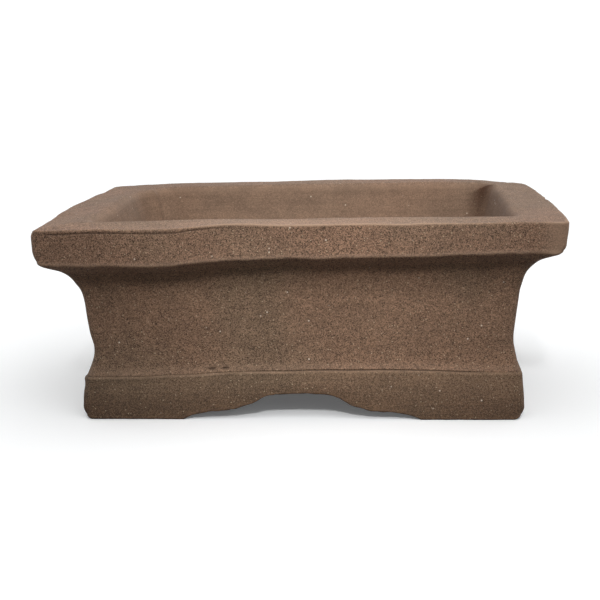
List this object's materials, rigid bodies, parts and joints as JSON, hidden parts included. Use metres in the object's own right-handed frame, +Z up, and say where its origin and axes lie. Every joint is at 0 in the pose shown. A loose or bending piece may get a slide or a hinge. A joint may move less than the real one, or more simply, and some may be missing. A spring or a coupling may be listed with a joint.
{
  "type": "bonsai pot",
  "caption": "Small unglazed rectangular bonsai pot with a heavy overhanging lip, hollow-curved leaning walls and a foot band cut into cloud-shaped arches.",
  "frame": {"origin": "on the standing surface, under the middle of the pot", "axes": "+X along the length, to the right seen from the front; +Y towards the back; +Z up"},
  "size_m": [0.12, 0.09, 0.047],
  "materials": {
    "clay_lip": "matte",
    "clay_wall": "matte",
    "clay_foot": "matte",
    "clay_inside": "matte"
  },
  "bodies": {
    "root": {"floor_slab": "clay_inside", "foot_front": "clay_foot", "foot_back": "clay_foot", "foot_left": "clay_foot", "foot_right": "clay_foot", "wall_front": "clay_wall", "wall_back": "clay_wall", "wall_left": "clay_wall", "wall_right": "clay_wall", "lip_front": "clay_lip", "lip_back": "clay_lip", "lip_left": "clay_lip", "lip_right": "clay_lip", "floor_coil_front": "clay_inside", "floor_coil_back": "clay_inside", "floor_coil_left": "clay_inside", "floor_coil_right": "clay_inside", "corner_coil_front_left": "clay_inside", "corner_coil_front_right": "clay_inside", "corner_coil_back_left": "clay_inside", "corner_coil_back_right": "clay_inside"}
  },
  "joints": []
}
